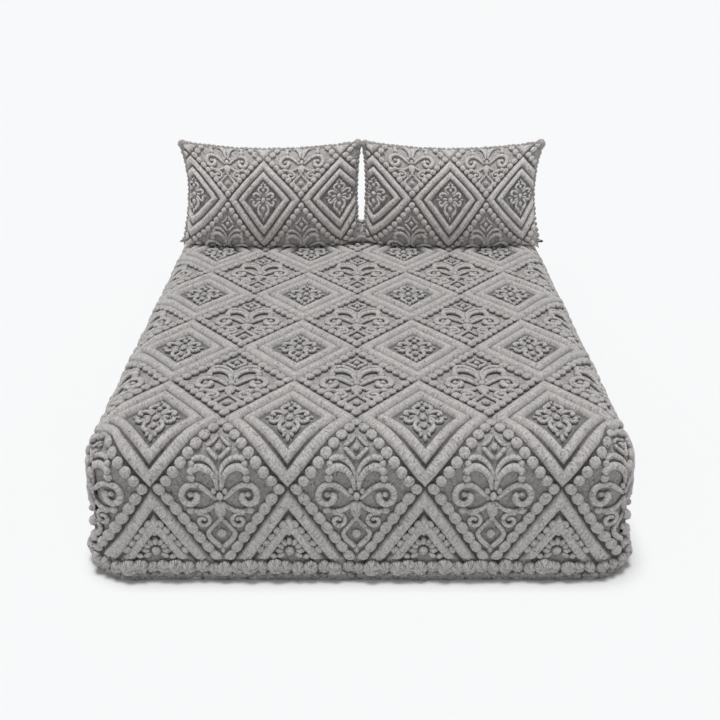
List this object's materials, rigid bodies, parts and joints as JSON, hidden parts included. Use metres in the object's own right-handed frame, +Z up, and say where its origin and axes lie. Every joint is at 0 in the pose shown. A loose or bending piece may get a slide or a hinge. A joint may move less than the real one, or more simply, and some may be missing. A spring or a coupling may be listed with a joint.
{
  "type": "fitted sheet set with pillows on a mattress",
  "caption": "Deep fitted sheet of carved plush with a diamond lattice and a bobble hem, on its mattress, with matching upright pillows at the head.",
  "frame": {"origin": "on the floor, under the middle of the bed's outline", "axes": "+X across the bed, +Y from the foot to the head, +Z up"},
  "size_m": [1.6262, 2.1362, 0.8572],
  "materials": {
    "plush": "matte short-pile plush",
    "edging_plush": "matte looped plush",
    "ticking": "plain woven"
  },
  "bodies": {
    "root": {"mattress": "ticking", "fitted_sheet": "plush", "hem_edging": "edging_plush", "pillow_left": "plush", "pillow_left_edging": "edging_plush", "pillow_right": "plush", "pillow_right_edging": "edging_plush"}
  },
  "joints": []
}
